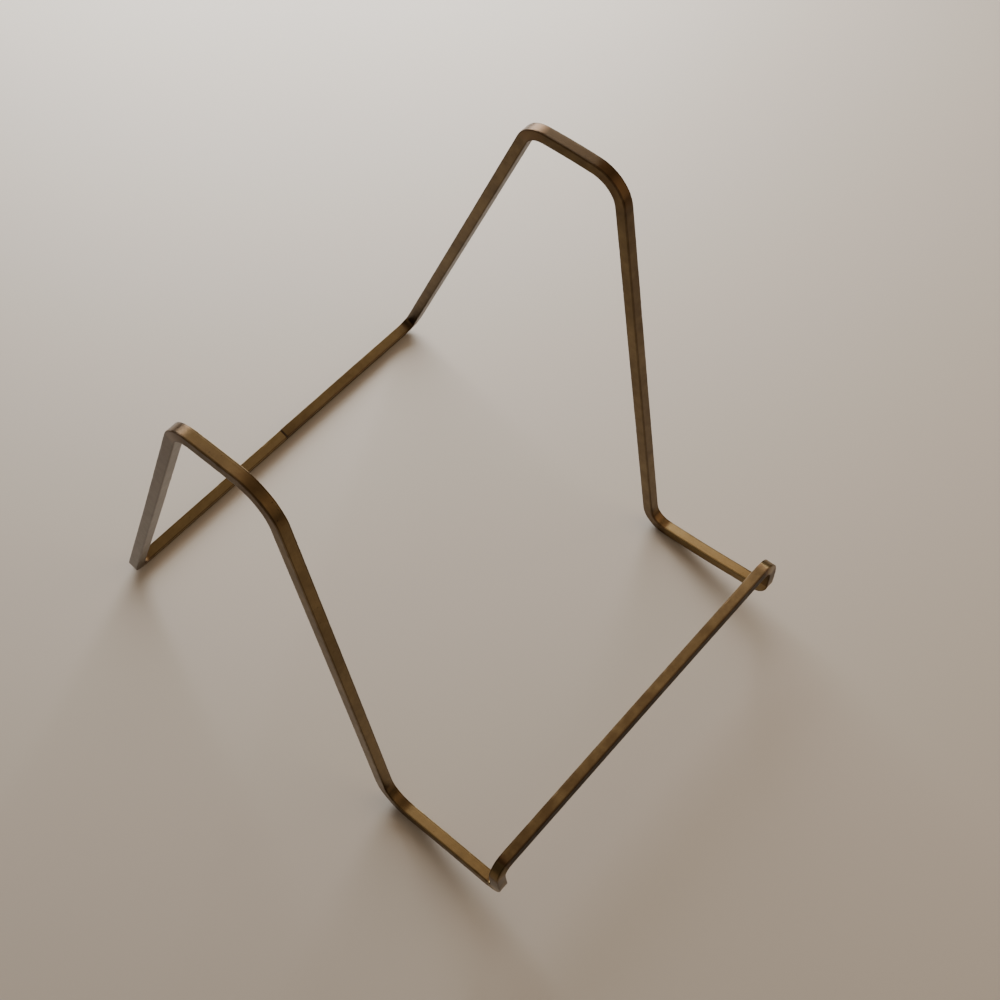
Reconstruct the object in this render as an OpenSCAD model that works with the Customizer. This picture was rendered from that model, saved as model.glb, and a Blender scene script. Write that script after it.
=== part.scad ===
// Photo album stand: one square brass bar bent into a closed loop.
// Each straight run of the bar, with half of the bend at each of its ends, is a sub-part.
// +Z is up, -Y is the front, where the album faces. The origin is on the floor,
// under the middle of the stand. Lengths are in millimetres, angles in degrees.

/* [Bar] */
// Side of the square brass bar
bar_side = 3.175; // [2.5:0.025:4]
// Radius of the bar's softened long edges
edge_radius = 0.15; // [0.1:0.05:0.5]

/* [Stand] */
// Width over the outer faces of the side bars
stand_width = 120; // [70:1:200]
// Length of a rail, from the front corner to the foot corner
rail_length = 40.5; // [30:0.5:60]
// How much the rails rise towards the front
rail_tilt = 12; // [0:0.5:20]
// Height of the lip's top face over the rails' top faces
lip_height = 12; // [10:0.5:25]
// Length of the back rest, from the foot corner to the shoulder corner
rest_length = 132; // [100:1:180]
// How much the back rest leans back from upright
rest_recline = 17; // [8:0.5:25]
// Length of a top rail, from the shoulder corner to the top corner
top_length = 28; // [24:0.5:40]
// How much the top rails fall towards the back
top_drop = 8; // [0:0.5:12]
// How much the rear struts lean back from upright
strut_lean = 15.2; // [8:0.1:22]

/* [Bends] */
// Centre-line radius between the lip bar and its posts
lip_bend_radius = 3.5; // [2.5:0.25:5]
// Centre-line radius between the posts and the rails
front_bend_radius = 3; // [2.5:0.25:5]
// Centre-line radius between the rails and the back rest, where the stand touches down
foot_bend_radius = 7.5; // [4:0.25:10]
// Centre-line radius between the back rest and the top rails
shoulder_bend_radius = 10; // [6:0.5:14]
// Centre-line radius between the top rails and the rear struts
top_bend_radius = 7; // [3:0.5:10]
// Centre-line radius between the rear struts and the rear bar
rear_bend_radius = 4; // [2.5:0.25:8]

/* [Seam] */
// Thickness of the solder film between the bar's two ends
solder_film = 0.2; // [0.1:0.05:0.5]
// How far the solder lies below the bar's faces
solder_recess = 0.12; // [0.05:0.01:0.3]

/* [Hidden] */
$fn = 48;

brass_colour = "#9a7b45";
solder_colour = "#4a3a22";
half_side = bar_side / 2;

// Point at a distance along a heading, in the side plane of Y and Z.
// A heading of 0 points to the back and a heading of 90 points up.
function along(heading, distance) = distance * [cos(heading), sin(heading)];

// A length in whole micrometres, so that what meets end to end shares one plane
function whole_um(length) = round(1000 * length) / 1000;

// Reach of the bar's rounded section from its centre line, when the section is turned
function turned_reach(angle) = (half_side - edge_radius) * (cos(angle) + sin(angle)) + edge_radius;

// Centre line of the right side
side_x = whole_um(stand_width / 2 - half_side);

// Headings of the five runs of a side, from the lip to the rear bar
post_heading = 270 - rail_tilt;
rail_heading = 360 - rail_tilt;
rest_heading = 90 - rest_recline;
top_heading = -top_drop;
strut_heading = strut_lean - 90;

// Turns between the runs
foot_turn = rest_heading - rail_heading + 360;
shoulder_turn = rest_heading - top_heading;
top_turn = top_heading - strut_heading;

// Each bend: its turn, its centre-line radius, and the way that it curls in the run's own frame
square_turn = 90;
inwards = 180;
upwards = -90;
downwards = 90;
lip_bend = [square_turn, lip_bend_radius, inwards];
front_bend = [square_turn, front_bend_radius, upwards];
foot_bend = [foot_turn, foot_bend_radius, upwards];
shoulder_bend = [shoulder_turn, shoulder_bend_radius, downwards];
top_bend = [top_turn, top_bend_radius, downwards];
rear_bend = [square_turn, rear_bend_radius, inwards];
open_end = [0, 0, 0];

// Centre-line corners of a side, as [y, z] from the foot corner
foot_corner = [0, 0];
front_corner = foot_corner - along(rail_heading, rail_length);
lip_corner = front_corner - along(post_heading, lip_height);
shoulder_corner = foot_corner + along(rest_heading, rest_length);
top_corner = shoulder_corner + along(top_heading, top_length);

// The foot bend's lowest point is the floor, and the rear bar's lower edge rests on it
foot_arc_centre = foot_corner + along((rest_heading + rail_heading - 180) / 2,
                                      foot_bend_radius / cos(foot_turn / 2));
floor_z = foot_arc_centre[1] - foot_bend_radius - half_side;
rear_z = floor_z + turned_reach(strut_lean);
strut_length = whole_um((top_corner[1] - rear_z) / cos(strut_lean));
rear_corner = top_corner + along(strut_heading, strut_length);

// The origin is midway between the front bends' and the rear bar's outermost points
front_arc_centre = front_corner + along(rail_heading, front_bend_radius)
                   - along(post_heading, front_bend_radius);
front_y = front_arc_centre[0] - front_bend_radius - half_side;
back_y = rear_corner[0] + turned_reach(strut_lean);
middle_y = (front_y + back_y) / 2;

// Length of straight bar that a bend takes from the corner of its run
function setback(bend) = whole_um(bend[1] * tan(bend[0] / 2));

// The bar's section: a square with rounded corners
module bar_section(side = bar_side, radius = edge_radius) {
    inset = side / 2 - radius;
    square([side, 2 * inset], center = true);
    square([2 * inset, side], center = true);
    for (x = [-inset, inset], y = [-inset, inset])
        translate([x, y])
            circle(radius);
}

// Half of a bend, which leaves the origin along +Z and curls towards +X
module half_bend(turn, radius) {
    translate([radius, 0, 0])
        mirror([1, 0, 0])
            rotate([90, 0, 0])
                rotate_extrude(angle = turn / 2)
                    translate([radius, 0])
                        bar_section();
}

// A run of bar along +Z from corner to corner, with half a bend at each end
module bar_run(length, first_bend, last_bend) {
    color(brass_colour) {
        translate([0, 0, setback(first_bend)])
            linear_extrude(length - setback(first_bend) - setback(last_bend))
                bar_section();
        if (first_bend[0] > 0)
            translate([0, 0, setback(first_bend)])
                mirror([0, 0, 1])
                    rotate([0, 0, first_bend[2]])
                        half_bend(first_bend[0], first_bend[1]);
        if (last_bend[0] > 0)
            translate([0, 0, length - setback(last_bend)])
                rotate([0, 0, last_bend[2]])
                    half_bend(last_bend[0], last_bend[1]);
    }
}

// Puts a point of the side plane in the stand's frame
module at_corner(x, corner)
    translate([x, corner[0] - middle_y, corner[1] - floor_z])
        children();

// Lays a run on the right side, from a corner along a heading
module right_side(corner, heading)
    at_corner(side_x, corner)
        rotate([heading - 90, 0, 0])
            children();

// The same on the left side
module left_side(corner, heading)
    mirror([1, 0, 0])
        right_side(corner, heading)
            children();

// Lays a run across the stand from its left side, with its bends curling along a heading
module crossways(corner, curl_heading)
    at_corner(-side_x, corner)
        rotate([curl_heading + 90, 0, 0])
            rotate([0, 90, 0])
                children();

module lip_post_run() bar_run(lip_height, lip_bend, front_bend);
module rail_run() bar_run(rail_length, front_bend, foot_bend);
module back_rest_run() bar_run(rest_length, foot_bend, shoulder_bend);
module top_rail_run() bar_run(top_length, shoulder_bend, top_bend);
module rear_strut_run() bar_run(strut_length, top_bend, rear_bend);
module rear_bar_run() {
    curl_along_strut = [rear_bend[0], rear_bend[1], 0];
    bar_run(side_x - solder_film / 2, curl_along_strut, open_end);
}

// Bar in front of the album, raised so that the album can't slide off the rails
module front_lip_bar() {
    curl_along_post = [lip_bend[0], lip_bend[1], 0];
    crossways(lip_corner, post_heading)
        bar_run(2 * side_x, curl_along_post, curl_along_post);
}

// Short posts that hold the lip bar over the rails
module left_lip_post() left_side(lip_corner, post_heading) lip_post_run();
module right_lip_post() right_side(lip_corner, post_heading) lip_post_run();

// Rails that the album stands on
module left_rail() left_side(front_corner, rail_heading) rail_run();
module right_rail() right_side(front_corner, rail_heading) rail_run();

// Long bars that the album leans on
module left_back_rest() left_side(foot_corner, rest_heading) back_rest_run();
module right_back_rest() right_side(foot_corner, rest_heading) back_rest_run();

// Short bars over the top, from the back rest to the rear struts
module left_top_rail() left_side(shoulder_corner, top_heading) top_rail_run();
module right_top_rail() right_side(shoulder_corner, top_heading) top_rail_run();

// Long bars down to the rear bar
module left_rear_strut() left_side(top_corner, strut_heading) rear_strut_run();
module right_rear_strut() right_side(top_corner, strut_heading) rear_strut_run();

// The two ends of the bar, which meet in the middle of the rear bar
module left_rear_bar() crossways(rear_corner, strut_heading + 180) rear_bar_run();
module right_rear_bar() mirror([1, 0, 0]) left_rear_bar();

// Film of solder in the butt joint between the two ends
module seam_solder() {
    color(solder_colour)
        crossways(rear_corner, strut_heading + 180)
            translate([0, 0, side_x - solder_film / 2])
                linear_extrude(solder_film)
                    square(bar_side - 2 * solder_recess, center = true);
}

front_lip_bar();
left_lip_post();
right_lip_post();
left_rail();
right_rail();
left_back_rest();
right_back_rest();
left_top_rail();
right_top_rail();
left_rear_strut();
right_rear_strut();
left_rear_bar();
right_rear_bar();
seam_solder();
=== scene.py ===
"""Looks of the photo album stand: one square brass bar, bent into a closed loop.

Each straight run of the bar, with half of the bend at each of its ends, is a piece that
stands for the CAD node of the same name. Lengths are in metres, angles in degrees.
"""

import math
import random
from collections import namedtuple

import bpy
import numpy as np
from mathutils import Matrix, Vector, noise


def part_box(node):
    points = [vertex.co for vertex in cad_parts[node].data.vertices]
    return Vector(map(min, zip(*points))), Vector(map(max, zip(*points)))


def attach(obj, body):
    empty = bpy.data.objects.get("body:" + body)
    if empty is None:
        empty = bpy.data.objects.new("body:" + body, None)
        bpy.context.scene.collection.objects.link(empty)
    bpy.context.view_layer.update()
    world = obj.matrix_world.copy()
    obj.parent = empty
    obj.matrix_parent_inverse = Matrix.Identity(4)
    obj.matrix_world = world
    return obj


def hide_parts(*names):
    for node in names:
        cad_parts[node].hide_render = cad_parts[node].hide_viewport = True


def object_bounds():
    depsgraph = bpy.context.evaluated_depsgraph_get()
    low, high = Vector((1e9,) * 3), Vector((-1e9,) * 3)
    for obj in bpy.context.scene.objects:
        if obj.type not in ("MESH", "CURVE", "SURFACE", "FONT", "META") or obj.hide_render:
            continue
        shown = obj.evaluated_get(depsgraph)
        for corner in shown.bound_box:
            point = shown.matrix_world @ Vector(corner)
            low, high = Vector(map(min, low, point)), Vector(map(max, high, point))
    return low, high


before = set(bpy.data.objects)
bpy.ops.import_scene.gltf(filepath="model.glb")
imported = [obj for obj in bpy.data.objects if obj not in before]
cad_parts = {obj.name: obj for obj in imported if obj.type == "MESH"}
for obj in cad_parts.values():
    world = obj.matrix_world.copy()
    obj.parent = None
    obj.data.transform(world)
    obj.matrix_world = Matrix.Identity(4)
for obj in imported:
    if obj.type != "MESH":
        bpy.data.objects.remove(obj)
cad_low, cad_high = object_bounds()

MM = 0.001

# The part's driving dimensions
EDGE_RADIUS = 0.15 * MM
RAIL_LENGTH = 40.5 * MM
RAIL_TILT = 12
LIP_HEIGHT = 12 * MM
REST_LENGTH = 132 * MM
REST_RECLINE = 17
TOP_LENGTH = 28 * MM
TOP_DROP = 8
STRUT_LEAN = 15.2
BEND_RADIUS = {"lip": 3.5 * MM, "front": 3 * MM, "foot": 7.5 * MM,
               "shoulder": 10 * MM, "top": 7 * MM, "rear": 4 * MM}
SOLDER_FILM = 0.2 * MM

# Side of the bar's square section, and how far the centre lines of the stand's left and right
# are from its middle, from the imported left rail
left_rail_low, left_rail_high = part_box("left_rail")
BAR_SIDE = left_rail_high.x - left_rail_low.x
HALF_SIDE = BAR_SIDE / 2
SIDE_X = -(left_rail_low.x + left_rail_high.x) / 2

# Headings of the runs in the side plane: 0 points to the back, and 90 points up
RAIL_HEADING = 360 - RAIL_TILT
POST_HEADING = 270 - RAIL_TILT
REST_HEADING = 90 - REST_RECLINE
STRUT_HEADING = STRUT_LEAN - 90

# Runs in their order along the bar, from one side of the seam to the other
RUNS = ["left_rear_bar", "left_rear_strut", "left_top_rail", "left_back_rest", "left_rail",
        "left_lip_post", "front_lip_bar", "right_lip_post", "right_rail", "right_back_rest",
        "right_top_rail", "right_rear_strut", "right_rear_bar"]

# How far the hand-bent corners and the seam stand off the drawing, and how much wider some
# bends are. A wider foot bend has its corner lower, so that it still touches the floor.
LEFT_OUT_OF_TRUE = {"lip": Vector((-0.5, 0, 0)) * MM, "foot": Vector((0.5, 0, -0.17)) * MM}
RIGHT_OUT_OF_TRUE = {"lip": Vector((2.9, 0, 0)) * MM, "front": Vector((1.0, 0, 0)) * MM,
                     "foot": Vector((0, 0, 0.17)) * MM}
LEFT_WIDER = {"foot": 1 * MM, "shoulder": 1 * MM}
RIGHT_WIDER = {"foot": -1 * MM, "shoulder": -1 * MM}
SEAM_OUT_OF_TRUE = 1.3 * MM

# How finely the bar is meshed: the length of a ring's stretch, the turn of one in a bend, and
# the steps across a face and round an edge of the section
RING_STEP = 0.8 * MM
BEND_STEP = 5
FLAT_STEPS = 6
EDGE_STEPS = 5


# ---------------------------------------------------------------- the bar's path

def along(heading, distance=1.0):
    """Offset in the side plane, along a heading."""
    angle = math.radians(heading)
    return Vector((0, math.cos(angle), math.sin(angle))) * distance


def side_corners():
    """Centre-line corners of a side at x = 0, worked out as in the CAD part, on its floor."""
    foot = Vector((0, 0, 0))
    front = foot - along(RAIL_HEADING, RAIL_LENGTH)
    lip = front - along(POST_HEADING, LIP_HEIGHT)
    shoulder = foot + along(REST_HEADING, REST_LENGTH)
    top = shoulder + along(-TOP_DROP, TOP_LENGTH)
    foot_turn = math.radians(REST_HEADING - RAIL_HEADING + 360)
    foot_arc = foot + along((REST_HEADING + RAIL_HEADING - 180) / 2,
                            BEND_RADIUS["foot"] / math.cos(foot_turn / 2))
    front_arc = front + (along(RAIL_HEADING) - along(POST_HEADING)) * BEND_RADIUS["front"]
    to_floor = cad_low.z - (foot_arc.z - BEND_RADIUS["foot"] - HALF_SIDE)
    to_front = cad_low.y - (front_arc.y - BEND_RADIUS["front"] - HALF_SIDE)
    lean = math.radians(STRUT_LEAN)
    rear_reach = (HALF_SIDE - EDGE_RADIUS) * (math.cos(lean) + math.sin(lean)) + EDGE_RADIUS
    strut_length = (top.z + to_floor - cad_low.z - rear_reach) / math.cos(lean)
    rear = top + along(STRUT_HEADING, strut_length)
    place = Vector((0, to_front, to_floor))
    corners = {"lip": lip, "front": front, "foot": foot, "shoulder": shoulder,
               "top": top, "rear": rear}
    return {name: corner + place for name, corner in corners.items()}


def one_side(corners, side_x, out_of_true, wider):
    """Corners of a side with their bend radii, from the rear bar to the lip."""
    side = []
    for name in ("rear", "top", "shoulder", "foot", "front", "lip"):
        corner = corners[name] + Vector((side_x, 0, 0)) + out_of_true.get(name, Vector())
        side.append((corner, BEND_RADIUS[name] + wider.get(name, 0)))
    return side


def loop_corners():
    """Corners of the whole bar with their bend radii, from one side of the seam to the other."""
    corners = side_corners()
    left = one_side(corners, -SIDE_X, LEFT_OUT_OF_TRUE, LEFT_WIDER)
    right = one_side(corners, SIDE_X, RIGHT_OUT_OF_TRUE, RIGHT_WIDER)
    seam = corners["rear"] + Vector((SEAM_OUT_OF_TRUE, 0, 0))
    half_film = Vector((SOLDER_FILM / 2, 0, 0))
    return [(seam - half_film, 0)] + left + right[::-1] + [(seam + half_film, 0)]


# A station on the bar: its centre, its direction, its section's axes, and inside a bend the
# way to the bend's centre and the bend's radius
Ring = namedtuple("Ring", "centre direction across up curl radius")


def section_axes(heading, wanted_up):
    """Direction of a run and its section's across and up axes, with up nearest to a wanted one."""
    up = (wanted_up - heading * wanted_up.dot(heading)).normalized()
    return heading, up.cross(heading), up


def run_ups():
    """Up axis of each run's section as drawn, in the order of the runs."""
    rear = along(STRUT_HEADING) * -1
    right = Vector((1, 0, 0))
    return [rear] + [right] * 5 + [along(POST_HEADING)] + [-right] * 5 + [rear]


def straight_rings(start, end, axes):
    """Rings of a straight stretch, without its last one."""
    length = (end - start).length
    count = max(2, round(length / RING_STEP))
    return [Ring(start.lerp(end, i / count), *axes, Vector(), 0) for i in range(count)]


def bend_rings(corner, radius, axes, axes_after):
    """Rings of a bend, the middle one among them, between the section axes of its two runs."""
    before = axes[0]
    after = axes_after[0]
    axis = before.cross(after).normalized()
    turn = before.angle(after)
    setback = radius * math.tan(turn / 2)
    inwards = axis.cross(before)
    arc_centre = corner - before * setback + inwards * radius
    count = 2 * math.ceil(math.degrees(turn) / 2 / BEND_STEP)
    carried_up = Matrix.Rotation(turn, 3, axis) @ axes[2]
    twist = math.atan2(carried_up.cross(axes_after[2]).dot(after), carried_up.dot(axes_after[2]))
    rings = []
    for i in range(count + 1):
        spin = Matrix.Rotation(turn * i / count, 3, axis)
        curl = spin @ inwards
        turned = Matrix.Rotation(twist * i / count, 3, spin @ before) @ spin
        turned_axes = [turned @ section_axis for section_axis in axes]
        rings.append(Ring(arc_centre - curl * radius, *turned_axes, curl, radius))
    return rings


def bar_rings():
    """All rings along the bar, and the index of each run's first ring, with the last one's end."""
    corners = loop_corners()
    places = [place for place, radius in corners]
    headings = [(after - before).normalized() for before, after in zip(places, places[1:])]
    axes = [section_axes(heading, up) for heading, up in zip(headings, run_ups())]
    rings = []
    borders = [0]
    start = places[0]
    for i in range(1, len(corners) - 1):
        corner, radius = corners[i]
        setback = radius * math.tan(headings[i - 1].angle(headings[i]) / 2)
        rings += straight_rings(start, corner - headings[i - 1] * setback, axes[i - 1])
        bent = bend_rings(corner, radius, axes[i - 1], axes[i])
        borders.append(len(rings) + len(bent) // 2)
        rings += bent[:-1]
        start = corner + headings[i] * setback
    rings += straight_rings(start, places[-1], axes[-1])
    rings.append(Ring(places[-1], *axes[-1], Vector(), 0))
    borders.append(len(rings) - 1)
    return rings, borders


# ---------------------------------------------------------------- the bar's surface

SWELL = 0.12            # how much a bend's inner side swells sideways, as a share of its strain
DISH = 0.1 * MM         # how far the middle of a bend's outer face sinks, at a strain of 1
BEND_BLEND = 0.9 * MM   # how gradually a bend starts to deform the section
BOW = 0.12 * MM         # how far the middle of a run may bow off its straight line
DENT = 0.012 * MM       # height of the shallow waves on the faces
DENT_SIZE = 3.5 * MM
NICK = 0.1 * MM         # depth of the nicks along the edges
NICK_SIZE = 1.6 * MM
NICK_RARITY = 0.25      # noise level over which an edge has a nick
NICK_SHIFT = Vector((7, 7, 7))  # keeps the nicks' noise apart from the waves'
SEED = 11

# How far the bar's right end stands off its left end, and from how far off the seam it does so
SEAM_STEP = Vector((0, 0.08 * MM, 0.02 * MM))
SEAM_STEP_REACH = 25 * MM

# How dark each run's brass is, from 0 for clean brass over 1 for brown to 2 for dark brown, and
# how softly that changes. This is partly real tarnish and partly painted light and shade, set per
# run for how brightly each run is lit.
RUN_TARNISH_AND_SHADE = {"front_lip_bar": 0.95, "left_rail": 0.4, "right_rail": 0.1,
           "left_back_rest": 0.5, "right_back_rest": 0.8,
           "left_top_rail": 0.75, "right_top_rail": 0.75,
           "right_rear_strut": 0.8, "left_rear_bar": 0.5, "right_rear_bar": 0.8}
USUAL_TARNISH_AND_SHADE = 0.9
TARNISH_AND_SHADE_BLEND = 5 * MM

# Faces of the section, as directions across and up: outward and inward are seen from the
# middle of the loop, and the album lies against the upper faces of the rails and back rests
FACES = {"outward": np.array([0, -1]), "inward": np.array([0, 1]),
         "upper": np.array([-1, 0]), "lower": np.array([1, 0])}

# Faces painted lighter or darker than the rest of their run, as painted light and shade for how each
# face is lit, and how sharply that ends at the edges
FACE_PAINTED_LIGHT_AND_SHADE = {
    "outward": {"left_rear_strut": 1.4, "left_top_rail": 0.9, "left_back_rest": 0.75,
                "left_rail": 0.5},
    "inward": {"right_back_rest": 0.7},
    "upper": {"right_top_rail": 1.35},
    "lower": {"front_lip_bar": 1.9, "left_rear_strut": 1.05, "right_rear_strut": 1.4},
}
FACE_SHADE_SHARPNESS = 8

# The map round and along the bar, and the length that one unit of it stands for
GRAIN_MAP = "grain"
GRAIN_UNIT = 10 * MM


def section():
    """Outline of the bar's section, its outward normals, each point's way round, and its length."""
    inset = HALF_SIDE - EDGE_RADIUS
    points = []
    normals = []
    around = []
    travelled = 0
    for quarter in range(4):
        turn = quarter * math.pi / 2
        face = np.array([math.cos(turn), math.sin(turn)])
        side = np.array([-face[1], face[0]])
        for i in range(FLAT_STEPS + 1):
            shift = inset * (2 * i / FLAT_STEPS - 1)
            points.append(face * HALF_SIDE + side * shift)
            normals.append(face)
            around.append(travelled + inset + shift)
        for i in range(1, EDGE_STEPS):
            angle = turn + math.pi / 2 * i / EDGE_STEPS
            normal = np.array([math.cos(angle), math.sin(angle)])
            points.append((face + side) * inset + normal * EDGE_RADIUS)
            normals.append(normal)
            around.append(travelled + 2 * inset + EDGE_RADIUS * (angle - turn))
        travelled += 2 * inset + EDGE_RADIUS * math.pi / 2
    return np.array(points), np.array(normals), np.array(around), travelled


def edge_distances(around, perimeter):
    """Distance of each section point from the middle of the nearest rounded edge."""
    quarter = perimeter / 4
    first_edge = quarter - EDGE_RADIUS * math.pi / 4
    offset = (around - first_edge) % quarter
    return np.minimum(offset, quarter - offset)


def smoothed(values, distance, reach):
    """Values along the bar, blurred over a reach."""
    steps = np.gradient(distance)
    weights = np.exp(-((distance[:, None] - distance[None, :]) / reach) ** 2) * steps[None, :]
    return weights @ values / weights.sum(axis=1, keepdims=True)


def run_bows(distance, borders):
    """How far each ring stands off the straight line, across and up, as hand-bent runs bow."""
    pick = random.Random(SEED)
    bows = np.zeros((len(distance), 2))
    for first, last in zip(borders, borders[1:]):
        start = distance[first]
        share = (distance[first:last + 1] - start) / (distance[last] - start)
        size = np.array([pick.uniform(-BOW, BOW), pick.uniform(-BOW, BOW)])
        bows[first:last + 1] = np.sin(math.pi * share)[:, None] ** 2 * size
    return bows


def along_runs(levels, distance, borders):
    """One level per run, changed softly from run to run, as a column with a value per ring."""
    column = np.zeros((len(distance), 1))
    for name, first, last in zip(RUNS, borders, borders[1:]):
        column[first:last + 1] = levels.get(name, USUAL_TARNISH_AND_SHADE)
    return smoothed(column, distance, TARNISH_AND_SHADE_BLEND)


def bar_tarnish_and_shade(distance, borders, outline_normals):
    """How dark the bar's brass is at each point, as tarnish with the painted light and shade of its
    runs and faces: one row per ring, one column per section point.
    """
    usual = along_runs(RUN_TARNISH_AND_SHADE, distance, borders)
    tarnish_and_shade = usual
    for face, levels in FACE_PAINTED_LIGHT_AND_SHADE.items():
        # Painted light and shade of the listed faces, laid over their run's level
        share = np.clip(outline_normals @ FACES[face], 0, 1) ** FACE_SHADE_SHARPNESS
        tarnish_and_shade = tarnish_and_shade + share * (along_runs({**RUN_TARNISH_AND_SHADE, **levels}, distance, borders) - usual)
    return tarnish_and_shade


def wear(point, edge_distance):
    """Height of the surface over its drawn shape: shallow waves on the faces, nicks on the edges."""
    wave = DENT * noise.noise(point / DENT_SIZE)
    depth = max(0, noise.noise(point / NICK_SIZE + NICK_SHIFT) - NICK_RARITY)
    closeness = max(0, 1 - edge_distance / EDGE_RADIUS)
    return wave - NICK * depth * closeness


class BarSurface:
    """Points and normals of the whole bar: one row per ring, one column per section point."""

    def __init__(self):
        rings, self.borders = bar_rings()
        self.outline, outline_normals, self.around, self.perimeter = section()
        self.edge_distance = edge_distances(self.around, self.perimeter)
        centres = np.array([ring.centre for ring in rings])
        across = np.array([ring.across for ring in rings])
        up = np.array([ring.up for ring in rings])
        self.directions = np.array([ring.direction for ring in rings])
        travel = np.linalg.norm(np.diff(centres, axis=0), axis=1)
        self.distance = np.concatenate([[0], np.cumsum(travel)])
        curvature = np.array([ring.curl / ring.radius if ring.radius else Vector()
                              for ring in rings])
        curl = np.stack([(curvature * across).sum(axis=1), (curvature * up).sum(axis=1)], axis=1)
        curl = smoothed(curl, self.distance, BEND_BLEND)
        self.bend = np.linalg.norm(curl, axis=1)
        self.tarnish_and_shade = bar_tarnish_and_shade(self.distance, self.borders, outline_normals)
        shape = self.bent_outline(curl) + run_bows(self.distance, self.borders)[:, None, :]
        points = (centres[:, None, :] + shape[:, :, :1] * across[:, None, :]
                  + shape[:, :, 1:] * up[:, None, :])
        facing = (outline_normals[None, :, :1] * across[:, None, :]
                  + outline_normals[None, :, 1:] * up[:, None, :])
        points = points + self.seam_step()[:, None, :]
        self.points = points + facing * self.wear_heights(points)[:, :, None]
        self.normals = self.surface_normals()

    def bent_outline(self, curl):
        """The outline at each ring: wider inside a bend, narrower and dished outside it."""
        across = self.outline[None, :, 0]
        up = self.outline[None, :, 1]
        strain_across = -across * curl[:, None, 0]
        strain_up = -up * curl[:, None, 1]
        sunk_across = DISH * np.maximum(strain_across, 0) * (1 - (up / HALF_SIDE) ** 2)
        sunk_up = DISH * np.maximum(strain_up, 0) * (1 - (across / HALF_SIDE) ** 2)
        bent_across = across * (1 - SWELL * strain_up) - sunk_across * np.sign(across)
        bent_up = up * (1 - SWELL * strain_across) - sunk_up * np.sign(up)
        return np.stack([bent_across, bent_up], axis=2)

    def seam_step(self):
        """Offset that brings the right end of the bar slightly out of line with the left end."""
        to_end = self.distance[-1] - self.distance
        share = np.clip(1 - to_end / SEAM_STEP_REACH, 0, 1)
        share = share * share * (3 - 2 * share)
        return share[:, None] * np.array(SEAM_STEP)[None, :]

    def wear_heights(self, points):
        """Height of the worn surface over the drawn one at every point."""
        heights = np.zeros(points.shape[:2])
        for i, row in enumerate(points):
            for j, point in enumerate(row):
                heights[i, j] = wear(Vector(point), self.edge_distance[j])
        return heights

    def surface_normals(self):
        """Normals from the slopes along and round the bar, so that they agree at the borders."""
        wrapped = np.concatenate([self.points[:, -1:], self.points, self.points[:, :1]], axis=1)
        around = np.concatenate([[self.around[-1] - self.perimeter], self.around,
                                 [self.around[0] + self.perimeter]])
        round_slope = np.gradient(wrapped, around, axis=1)[:, 1:-1]
        along_slope = np.gradient(self.points, self.distance, axis=0)
        normals = np.cross(round_slope, along_slope)
        return normals / np.linalg.norm(normals, axis=2, keepdims=True)


# ---------------------------------------------------------------- the pieces

# How far the solder lies below the bar's faces, at the two ends of the bar and midway between
# them, and how uneven that is
SOLDER_RIM_DEPTH = 0.07 * MM
SOLDER_MIDDLE_DEPTH = 0.12 * MM
SOLDER_UNEVEN = 0.05 * MM
SOLDER_UNEVEN_SIZE = 0.8 * MM


def mesh_object(name, points, faces, material):
    """A mesh object in the scene, with one material."""
    mesh = bpy.data.meshes.new(name)
    mesh.from_pydata([tuple(point) for point in points], [], faces)
    mesh.materials.append(material)
    made = bpy.data.objects.new(name, mesh)
    bpy.context.scene.collection.objects.link(made)
    return made


def tube_faces(rows, columns):
    """Faces of a closed tube of points that are counted row by row: its sides, then its ends."""
    sides = []
    for row in range(rows - 1):
        for column in range(columns):
            here = row * columns + column
            beside = row * columns + (column + 1) % columns
            sides.append([here, beside, beside + columns, here + columns])
    start_cap = list(reversed(range(columns)))
    end_cap = [(rows - 1) * columns + column for column in range(columns)]
    return sides, [start_cap, end_cap]


def set_attribute(mesh, name, values):
    """Stores one number per point, for the material."""
    attribute = mesh.attributes.new(name, "FLOAT", "POINT")
    attribute.data.foreach_set("value", np.asarray(values, np.float32).ravel())


def set_uv(mesh, places):
    """Stores a place round and along the bar per face corner, for the metal's grain direction."""
    layer = mesh.uv_layers.new(name=GRAIN_MAP)
    layer.data.foreach_set("uv", np.asarray(places, np.float32).ravel() / GRAIN_UNIT)


def side_places(surface, first, last):
    """Place round and along the bar of each corner of a run's side faces."""
    around = np.append(surface.around, surface.perimeter)
    places = []
    for low, high in zip(surface.distance[first:last], surface.distance[first + 1:last + 1]):
        for left, right in zip(around, around[1:]):
            places += [(left, low), (right, low), (right, high), (left, high)]
    return places


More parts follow.
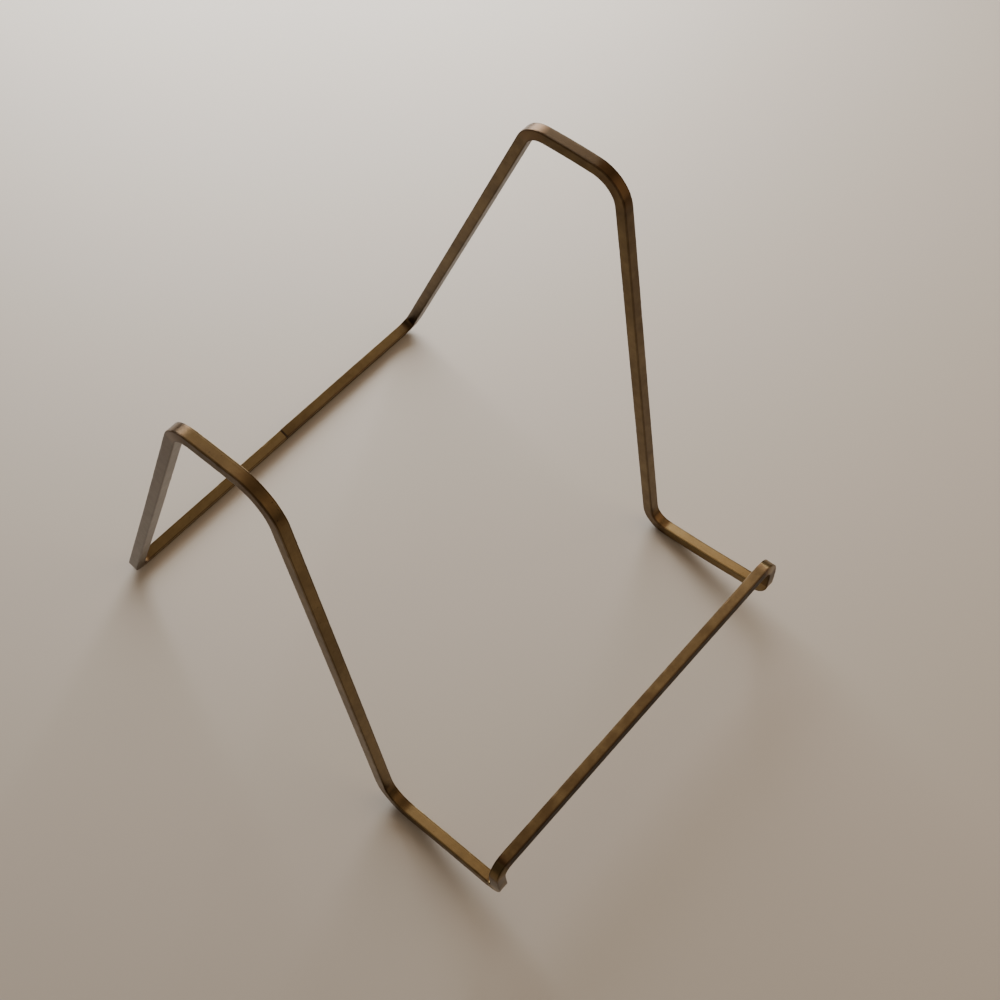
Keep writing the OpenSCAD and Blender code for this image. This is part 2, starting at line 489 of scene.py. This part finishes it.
def run_piece(surface, index, material):
    """One run of the bar as a closed mesh, with flat ends where it meets its neighbours."""
    name = RUNS[index]
    first = surface.borders[index]
    last = surface.borders[index + 1]
    rows = last + 1 - first
    columns = len(surface.outline)
    points = surface.points[first:last + 1].reshape(-1, 3)
    normals = surface.normals[first:last + 1].reshape(-1, 3)
    sides, caps = tube_faces(rows, columns)
    piece = mesh_object(name + "_brass", points, sides + caps, material)
    corner_normals = [tuple(normals[corner]) for face in sides for corner in face]
    corner_normals += [tuple(-surface.directions[first])] * columns
    corner_normals += [tuple(surface.directions[last])] * columns
    piece.data.normals_split_custom_set(corner_normals)
    places = side_places(surface, first, last)
    places += [tuple(surface.outline[corner % columns]) for cap in caps for corner in cap]
    set_uv(piece.data, places)
    along_bar = np.repeat(surface.distance[first:last + 1], columns)
    set_attribute(piece.data, "along_bar", along_bar)
    set_attribute(piece.data, "around_bar", np.tile(surface.around, rows))
    set_attribute(piece.data, "from_seam", np.minimum(along_bar, surface.distance[-1] - along_bar))
    set_attribute(piece.data, "from_edge", np.tile(surface.edge_distance, rows))
    set_attribute(piece.data, "bend", np.repeat(surface.bend[first:last + 1], columns))
    set_attribute(piece.data, "tarnish_and_shade", surface.tarnish_and_shade[first:last + 1])
    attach(piece, "root")
    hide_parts(name)


def solder_piece(material):
    """The dark solder in the butt joint, with an uneven rim just below the bar's faces."""
    low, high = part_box("seam_solder")
    centre = side_corners()["rear"] + Vector((SEAM_OUT_OF_TRUE, 0, 0)) + SEAM_STEP / 2
    up = along(STRUT_HEADING) * -1
    across = along(STRUT_LEAN)
    outline, outline_normals = section()[:2]
    layers = [(low.x, SOLDER_RIM_DEPTH), (0, SOLDER_MIDDLE_DEPTH), (high.x, SOLDER_RIM_DEPTH)]
    points = []
    for x, depth in layers:
        for point, normal in zip(outline, outline_normals):
            uneven = noise.noise(Vector((point[0], point[1], x)) / SOLDER_UNEVEN_SIZE)
            place = point - normal * (depth + SOLDER_UNEVEN * uneven)
            points.append(centre + Vector((x, 0, 0)) + across * place[0] + up * place[1])
    sides, caps = tube_faces(len(layers), len(outline))
    piece = mesh_object("seam_solder_film", points, sides + caps, material)
    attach(piece, "root")
    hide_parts("seam_solder")


# ---------------------------------------------------------------- materials

class Shader:
    """A node material that is written down as a chain of values."""

    def __init__(self, name):
        self.material = bpy.data.materials.new(name)
        self.material.use_nodes = True
        self.tree = self.material.node_tree
        self.surface = self.tree.nodes["Principled BSDF"]

    def node(self, kind, inputs=None, **settings):
        """Adds a node with its settings, and sets or links its inputs."""
        made = self.tree.nodes.new("ShaderNode" + kind)
        for key, value in settings.items():
            setattr(made, key, value)
        for key, value in (inputs or {}).items():
            self.feed(made.inputs[key], value)
        return made

    def feed(self, socket, value):
        """Links a socket to another, or sets its value, where a tuple is an opaque colour."""
        if isinstance(value, bpy.types.NodeSocket):
            self.tree.links.new(value, socket)
        elif isinstance(value, tuple):
            socket.default_value = (*value, 1)
        else:
            socket.default_value = value

    def math(self, operation, *values, clamp=False):
        """Result of a maths operation on one to three values."""
        made = self.node("Math", operation=operation, use_clamp=clamp)
        for i, value in enumerate(values):
            self.feed(made.inputs[i], value)
        return made.outputs[0]

    def attribute(self, name):
        """A number that the mesh stores per point."""
        return self.node("Attribute", attribute_name=name).outputs["Fac"]

    def position(self):
        """Place of the shaded point in the scene."""
        return self.node("NewGeometry").outputs["Position"]

    def noise(self, place, size, detail, roughness):
        """Noise whose features are about a given size in metres."""
        made = self.node("TexNoise", {"Vector": place, "Scale": 1 / size, "Detail": detail,
                                      "Roughness": roughness})
        return made.outputs["Fac"]

    def ramp(self, value, low, high):
        """Goes smoothly from 0 at one value to 1 at another."""
        made = self.node("MapRange", {"Value": value, "From Min": low, "From Max": high},
                         interpolation_type="SMOOTHSTEP")
        return made.outputs["Result"]

    def blend(self, first, second, share):
        """A value made of a share of the first one and the rest of the second one."""
        rest = self.math("MULTIPLY", second, 1 - share)
        return self.math("MULTIPLY_ADD", first, share, rest)

    def bump(self, height, strength, distance):
        """Normal of a surface with a fine relief."""
        return self.node("Bump", {"Height": height, "Strength": strength,
                                  "Distance": distance}).outputs[0]

    def mix(self, share, first, second):
        """Colour between two colours. The node's sockets share their names, so they go by number."""
        made = self.node("Mix", data_type="RGBA")
        for socket, value in ((0, share), (6, first), (7, second)):
            self.feed(made.inputs[socket], value)
        return made.outputs[2]

    def tint(self, colour, over, mask, strength):
        """Lays one colour over another where a mask says so, up to a strength."""
        return self.mix(self.math("MULTIPLY", mask, strength), colour, over)

    def finish(self, **inputs):
        """Feeds the surface's own sockets."""
        for key, value in inputs.items():
            self.feed(self.surface.inputs[key.replace("_", " ")], value)
        return self.material


BRIGHT = (0.34, 0.245, 0.115)
BROWN = (0.076, 0.047, 0.021)
DARK_BROWN = (0.03, 0.019, 0.008)
RED_BROWN = (0.135, 0.078, 0.041)
# Blackened brass for the dark spots, also used as painted shade beside the edges and at the seam
BLACKENED_AND_SHADE = (0.035, 0.024, 0.016)

# Noise that makes each mark on the brass: the size of its features, its detail and roughness
CLOUDS = (11 * MM, 3, 0.5)
PATCHES = (2.6 * MM, 3, 0.6)
GRAIN = (0.35 * MM, 2, 0.5)
LINES = (0.14 * MM, 3, 0.6)
SPOTS = (0.8 * MM, 1, 0.5)
LINE_SLIMNESS = 0.015   # a drawn line's width as a share of its length

# How much the clouds and patches change the tarnish, from their lowest to their highest
CLOUD_TARNISH = 0.5
PATCH_TARNISH = 0.36

# Where each mark starts and where it is full: levels of noise, distances, or a bend's
# curvature per metre. Only the tight bends at the lip and the front get a painted highlight of
# bright brass.
LINE_LEVELS = (0.45, 0.7)
BENT = (40, 160)
BENT_PATCH_LEVELS = (0.2, 0.55)
# Curvature over which a bend gets a painted highlight
BEND_HIGHLIGHT = (250, 290)
# A painted dark line of shade beside each rounded edge, which leaves the edge's crest out
EDGE_SHADE_CREST = (0.16 * MM, 0.1 * MM)
EDGE_SHADE_BAND = (0.42 * MM, 0.2 * MM)
# A painted dark band of shade on the brass at the seam's groove
SEAM_SHADE_BAND = (0.35 * MM, 0.12 * MM)
SPOT_LEVELS = (0.72, 0.8)

# How strongly each mark covers the brass. The bright tint on the tight bends is a painted highlight,
# and the dark tints beside the edges and at the seam are painted shade.
LINE_TINT = 0.25
BENT_TINT = 0.65
BEND_HIGHLIGHT_TINT = 0.5
EDGE_SHADE_TINT = 0.75
SEAM_SHADE_TINT = 0.85
SPOT_TINT = 0.5

# How much of the fine marks' colour and relief is drawn lines. The rest is grain.
LINE_COLOUR_SHARE = 0.6
LINE_RELIEF_SHARE = 0.8

# The brass's gloss and relief
BRASS_ROUGHNESS = 0.25
PATCH_ROUGHNESS = 0.1
TARNISH_ROUGHNESS = 0.06
BRASS_ANISOTROPY = 0.8
RELIEF = 0.012 * MM
RELIEF_STRENGTH = 0.25
SPOT_RELIEF = -0.3

# The solder's near-black colours are painted shade of the narrow, recessed joint
SOLDER_DARK = (0.014, 0.011, 0.009)
SOLDER_PALE = (0.04, 0.03, 0.022)
SOLDER_PATCHES = (0.4 * MM, 3, 0.5)
SOLDER_PATCH_LEVELS = (0.35, 0.65)
SOLDER_METALLIC = 0.7
SOLDER_ROUGHNESS = 0.5
SOLDER_PATCH_ROUGHNESS = 0.3
SOLDER_RELIEF = 0.05 * MM
SOLDER_RELIEF_STRENGTH = 0.4

FLOOR_DARK = (0.66, 0.605, 0.53)
FLOOR_PALE = (0.69, 0.635, 0.56)
FLOOR_CLOUDS = (0.2, 2, 0.5)
FLOOR_ROUGHNESS = 0.5


def drawn_lines(shader):
    """Noise that is drawn out into fine lines along the bar."""
    stretched = shader.node("CombineXYZ", {
        "X": shader.math("MULTIPLY", shader.attribute("along_bar"), LINE_SLIMNESS),
        "Y": shader.attribute("around_bar"),
        "Z": 0.0,
    }).outputs[0]
    return shader.noise(stretched, *LINES)


def uneven_tarnish_and_shade(shader, clouds, patches):
    """The mesh's tarnish and painted shade, made uneven by clouds and patches."""
    tarnish_and_shade = shader.attribute("tarnish_and_shade")
    tarnish_and_shade = shader.math("ADD", tarnish_and_shade, -(CLOUD_TARNISH + PATCH_TARNISH) / 2)
    tarnish_and_shade = shader.math("MULTIPLY_ADD", clouds, CLOUD_TARNISH, tarnish_and_shade)
    return shader.math("MULTIPLY_ADD", patches, PATCH_TARNISH, tarnish_and_shade)


def brass_colour(shader, tarnish_and_shade, patches, grain, lines, spots):
    """Brass under its tarnish and painted shade, with the marks of drawing and bending, a painted
    highlight on the tight bends, painted shade beside the edges and at the seam, and dark spots.
    """
    colour = shader.mix(shader.math("MAXIMUM", tarnish_and_shade, 0.0, clamp=True), BRIGHT, BROWN)
    colour = shader.mix(shader.math("SUBTRACT", tarnish_and_shade, 1.0, clamp=True), colour, DARK_BROWN)
    fine = shader.blend(lines, grain, LINE_COLOUR_SHARE)
    colour = shader.tint(colour, BROWN, shader.ramp(fine, *LINE_LEVELS), LINE_TINT)
    bend = shader.attribute("bend")
    # Tight bends get a painted highlight of bright brass in place of the red tint
    painted_bend_highlight = shader.ramp(bend, *BEND_HIGHLIGHT)
    bent = shader.math("SUBTRACT", shader.ramp(bend, *BENT), painted_bend_highlight)
    bent = shader.math("MULTIPLY", bent, shader.ramp(patches, *BENT_PATCH_LEVELS))
    colour = shader.tint(colour, RED_BROWN, bent, BENT_TINT)
    colour = shader.tint(colour, BRIGHT, painted_bend_highlight, BEND_HIGHLIGHT_TINT)
    # Painted shade: a dark line beside each edge, standing in for the dark reflection of the rounded
    # edges
    from_edge = shader.attribute("from_edge")
    painted_edge_shade = shader.math("SUBTRACT", shader.ramp(from_edge, *EDGE_SHADE_BAND),
                              shader.ramp(from_edge, *EDGE_SHADE_CREST))
    colour = shader.tint(colour, BLACKENED_AND_SHADE, painted_edge_shade, EDGE_SHADE_TINT)
    # Painted shade: a dark band at the seam, for the shade in the joint's groove
    painted_seam_shade = shader.ramp(shader.attribute("from_seam"), *SEAM_SHADE_BAND)
    colour = shader.tint(colour, BLACKENED_AND_SHADE, painted_seam_shade, SEAM_SHADE_TINT)
    return shader.tint(colour, BLACKENED_AND_SHADE, spots, SPOT_TINT)


def aged_brass():
    """Satin drawn brass under an uneven brown tarnish with painted shade, redder in the bends, with
    painted shade by the edges.
    """
    shader = Shader("aged_brass")
    place = shader.position()
    clouds = shader.noise(place, *CLOUDS)
    patches = shader.noise(place, *PATCHES)
    grain = shader.noise(place, *GRAIN)
    lines = drawn_lines(shader)
    spots = shader.ramp(shader.noise(place, *SPOTS), *SPOT_LEVELS)
    tarnish_and_shade = uneven_tarnish_and_shade(shader, clouds, patches)
    colour = brass_colour(shader, tarnish_and_shade, patches, grain, lines, spots)
    roughness = shader.math("MULTIPLY_ADD", patches, PATCH_ROUGHNESS, BRASS_ROUGHNESS)
    roughness = shader.math("MULTIPLY_ADD", tarnish_and_shade, TARNISH_ROUGHNESS, roughness)
    height = shader.blend(lines, grain, LINE_RELIEF_SHARE)
    height = shader.math("MULTIPLY_ADD", spots, SPOT_RELIEF, height)
    across_grain = shader.node("Tangent", direction_type="UV_MAP", uv_map=GRAIN_MAP).outputs[0]
    return shader.finish(Base_Color=colour, Metallic=1.0, Roughness=roughness,
                         Normal=shader.bump(height, RELIEF_STRENGTH, RELIEF),
                         Anisotropic=BRASS_ANISOTROPY, Tangent=across_grain)


def dark_solder():
    """Matt solder, painted nearly black as the shade of the narrow recessed joint."""
    shader = Shader("dark_solder")
    patches = shader.noise(shader.position(), *SOLDER_PATCHES)
    colour = shader.mix(shader.ramp(patches, *SOLDER_PATCH_LEVELS), SOLDER_DARK, SOLDER_PALE)
    roughness = shader.math("MULTIPLY_ADD", patches, SOLDER_PATCH_ROUGHNESS, SOLDER_ROUGHNESS)
    return shader.finish(Base_Color=colour, Metallic=SOLDER_METALLIC, Roughness=roughness,
                         Normal=shader.bump(patches, SOLDER_RELIEF_STRENGTH, SOLDER_RELIEF))


def pale_floor():
    """Plain matt floor."""
    shader = Shader("pale_floor")
    clouds = shader.noise(shader.position(), *FLOOR_CLOUDS)
    return shader.finish(Base_Color=shader.mix(clouds, FLOOR_DARK, FLOOR_PALE),
                         Roughness=FLOOR_ROUGHNESS)


# ---------------------------------------------------------------- floor, light and camera

FLOOR_SIZE = 3.0

WINDOW_AZIMUTH = 39.5
WINDOW_ELEVATION = 24
WINDOW_DISTANCE = 0.45
WINDOW_SIZE = (0.4, 0.245)
WINDOW_POWER = 2.9
DAYLIGHT = (0.97, 0.985, 1.0)

# Place, size and power of the room's own lights: the ceiling, a fill light high behind the stand
# on the right, and a pale wall in front of it on the right
ROOM_LIGHTS = {
    "ceiling": (Vector((0, 0, 1.7)), (2.4, 2.4), 2.6),
    "fill": (Vector((0.45, 0.43, 0.79)), (1.4, 0.7), 1.8),
    "wall": (Vector((0.7, -0.62, 0.5)), (0.9, 0.9), 2.6),
}
WARM_LIGHT = (1.0, 0.74, 0.5)
DARK_ROOM = (0.13, 0.11, 0.09)

CAMERA_PLACE = Vector((-0.1527, -0.10175, 0.41126))
CAMERA_AIM = Vector((0.0314, 0.00745, -0.00034))
CAMERA_ROLL = -11.7
NEAREST_VIEW = 0.01

# The lens's focal length and the sensor's width, in millimetres
LENS = 55.2
SENSOR_WIDTH = 36


def make_floor(material):
    """Flat floor under the stand."""
    half = FLOOR_SIZE / 2
    corners = [(x * half, y * half, cad_low.z) for x, y in ((-1, -1), (1, -1), (1, 1), (-1, 1))]
    floor = mesh_object("floor", corners, [(0, 1, 2, 3)], material)


def area_light(name, place, size, power, colour):
    """A rectangular light that faces the stand's origin."""
    lamp = bpy.data.lights.new(name, "AREA")
    lamp.shape = "RECTANGLE"
    lamp.size, lamp.size_y = size
    lamp.energy = power
    lamp.color = colour
    light = bpy.data.objects.new(name, lamp)
    light.location = place
    light.rotation_mode = "QUATERNION"
    light.rotation_quaternion = place.to_track_quat("Z", "Y")
    bpy.context.scene.collection.objects.link(light)


def make_light():
    """A soft window behind the stand on the right, three dim warm lights and a dark room."""
    azimuth = math.radians(WINDOW_AZIMUTH)
    elevation = math.radians(WINDOW_ELEVATION)
    window_place = WINDOW_DISTANCE * Vector((math.sin(azimuth) * math.cos(elevation),
                                             math.cos(azimuth) * math.cos(elevation),
                                             math.sin(elevation)))
    area_light("window", window_place, WINDOW_SIZE, WINDOW_POWER, DAYLIGHT)
    for name, (place, size, power) in ROOM_LIGHTS.items():
        area_light(name, place, size, power, WARM_LIGHT)
    world = bpy.data.worlds.new("room")
    world.use_nodes = True
    background = world.node_tree.nodes["Background"]
    background.inputs["Color"].default_value = (*DARK_ROOM, 1)
    bpy.context.scene.world = world


def make_camera():
    """Camera above the left front corner, looking down at the stand."""
    lens = bpy.data.cameras.new("camera")
    lens.lens = LENS
    lens.sensor_width = SENSOR_WIDTH
    lens.clip_start = NEAREST_VIEW
    camera = bpy.data.objects.new("camera", lens)
    look = (CAMERA_AIM - CAMERA_PLACE).normalized()
    level = look.to_track_quat("-Z", "Y")
    roll = Matrix.Rotation(math.radians(CAMERA_ROLL), 3, look).to_quaternion()
    camera.rotation_mode = "QUATERNION"
    camera.rotation_quaternion = roll @ level
    camera.location = CAMERA_PLACE
    bpy.context.scene.collection.objects.link(camera)
    bpy.context.scene.camera = camera


def make_stand():
    """All pieces of the stand."""
    surface = BarSurface()
    brass = aged_brass()
    for index in range(len(RUNS)):
        run_piece(surface, index, brass)
    solder_piece(dark_solder())


make_floor(pale_floor())
make_light()
make_camera()
make_stand()
